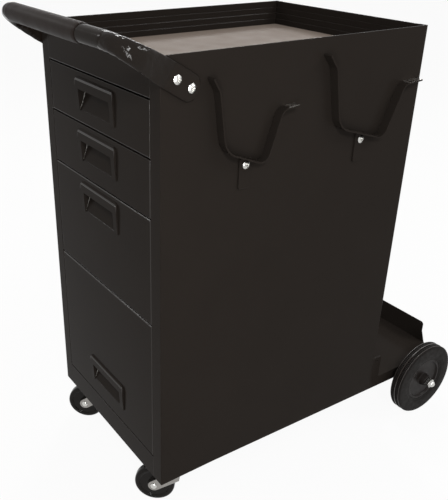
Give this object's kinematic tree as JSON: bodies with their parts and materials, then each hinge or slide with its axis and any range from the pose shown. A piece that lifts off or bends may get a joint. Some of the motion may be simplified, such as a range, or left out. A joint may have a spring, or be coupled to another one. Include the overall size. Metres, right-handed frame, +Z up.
{
  "type": "welding cart",
  "caption": "Black sheet-steel welding cart with drawers, a lift-up flap, an open top tray, cable hooks, a bent-tube handle and a gas bottle platform between rear wheels.",
  "frame": {"origin": "on the floor, under the middle of the cart's bounding box", "axes": "+Z up, +Y from the drawer fronts towards the bottle platform, +X towards the side with the cable hooks"},
  "size_m": [0.4702, 0.753, 0.7986],
  "materials": {
    "black_paint": "satin black powder coat on sheet steel and tube",
    "zinc": "bright zinc plate",
    "galvanised": "dull galvanised sheet",
    "tyre_rubber": "matte black rubber",
    "hub_plastic": "moulded black plastic",
    "grip_sleeve": "soft black sleeve",
    "mat_rubber": "matte grey sheet"
  },
  "bodies": {
    "cabinet": {"side_panel_right": "black_paint", "side_panel_left": "black_paint", "rear_panel": "black_paint", "front_top_rail": "black_paint", "front_bottom_rail": "black_paint", "base_pan": "black_paint", "ear_screw_right": "black_paint", "ear_screw_left": "black_paint", "tray_pan": "black_paint", "tray_mat": "mat_rubber", "compartment_shelf": "black_paint", "drawer_1_runner_right": "galvanised", "drawer_1_runner_left": "galvanised", "drawer_2_runner_right": "galvanised", "drawer_2_runner_left": "galvanised", "drawer_3_runner_right": "galvanised", "drawer_3_runner_left": "galvanised", "cable_hook_front": "black_paint", "cable_hook_rear": "black_paint", "hook_screw_front": "zinc", "hook_screw_rear": "zinc", "handle_tube": "black_paint", "handle_grip": "grip_sleeve", "handle_screw_rear_right": "zinc", "handle_screw_front_right": "zinc", "handle_screw_rear_left": "zinc", "handle_screw_front_left": "zinc", "rear_axle": "zinc", "axle_nut_right": "zinc", "axle_nut_left": "zinc", "caster_plate_right": "zinc", "caster_plate_left": "zinc"},
    "drawer_1": {"drawer_1_front": "black_paint", "drawer_1_pull": "black_paint", "drawer_1_box": "black_paint", "drawer_1_slide_right": "galvanised", "drawer_1_slide_left": "galvanised"},
    "drawer_2": {"drawer_2_front": "black_paint", "drawer_2_pull": "black_paint", "drawer_2_box": "black_paint", "drawer_2_slide_right": "galvanised", "drawer_2_slide_left": "galvanised"},
    "drawer_3": {"drawer_3_front": "black_paint", "drawer_3_pull": "black_paint", "drawer_3_box": "black_paint", "drawer_3_slide_right": "galvanised", "drawer_3_slide_left": "galvanised"},
    "flap": {"flap_panel": "black_paint", "flap_pull": "black_paint", "flap_hinge_rod": "zinc"},
    "rear_wheel_right": {"wheel_tyre_right": "tyre_rubber", "wheel_hub_right": "hub_plastic"},
    "rear_wheel_left": {"wheel_tyre_left": "tyre_rubber", "wheel_hub_left": "hub_plastic"},
    "caster_swivel_right": {"caster_fork_right": "zinc", "caster_rivet_right": "zinc"},
    "caster_swivel_left": {"caster_fork_left": "zinc", "caster_rivet_left": "zinc"},
    "caster_roller_right": {"caster_wheel_right": "tyre_rubber"},
    "caster_roller_left": {"caster_wheel_left": "tyre_rubber"}
  },
  "joints": [
    {"name": "drawer_1_slide", "type": "slide", "parent": "cabinet", "child": "drawer_1", "axis": [0, -1, 0], "range_m": [0, 0.3]},
    {"name": "drawer_2_slide", "type": "slide", "parent": "cabinet", "child": "drawer_2", "axis": [0, -1, 0], "range_m": [0, 0.3]},
    {"name": "drawer_3_slide", "type": "slide", "parent": "cabinet", "child": "drawer_3", "axis": [0, -1, 0], "range_m": [0, 0.3]},
    {"name": "flap_hinge", "type": "hinge", "parent": "cabinet", "child": "flap", "pos_m": [0, -0.30245, 0.3723], "axis": [-1, 0, 0], "range_deg": [0, 85]},
    {"name": "rear_wheel_spin_right", "type": "hinge", "parent": "cabinet", "child": "rear_wheel_right", "pos_m": [0.1998, 0.29925, 0.075], "axis": [1, 0, 0], "continuous": true},
    {"name": "rear_wheel_spin_left", "type": "hinge", "parent": "cabinet", "child": "rear_wheel_left", "pos_m": [-0.1998, 0.29925, 0.075], "axis": [1, 0, 0], "continuous": true},
    {"name": "caster_swivel_right", "type": "hinge", "parent": "cabinet", "child": "caster_swivel_right", "pos_m": [0.131, -0.26345, 0.087], "axis": [0, 0, 1], "continuous": true},
    {"name": "caster_swivel_left", "type": "hinge", "parent": "cabinet", "child": "caster_swivel_left", "pos_m": [-0.131, -0.26345, 0.087], "axis": [0, 0, 1], "continuous": true},
    {"name": "caster_spin_right", "type": "hinge", "parent": "caster_swivel_right", "child": "caster_roller_right", "pos_m": [0.11463, -0.281, 0.035], "axis": [0.7314, -0.682, 0], "continuous": true},
    {"name": "caster_spin_left", "type": "hinge", "parent": "caster_swivel_left", "child": "caster_roller_left", "pos_m": [-0.14737, -0.281, 0.035], "axis": [0.7314, -0.682, 0], "continuous": true}
  ]
}
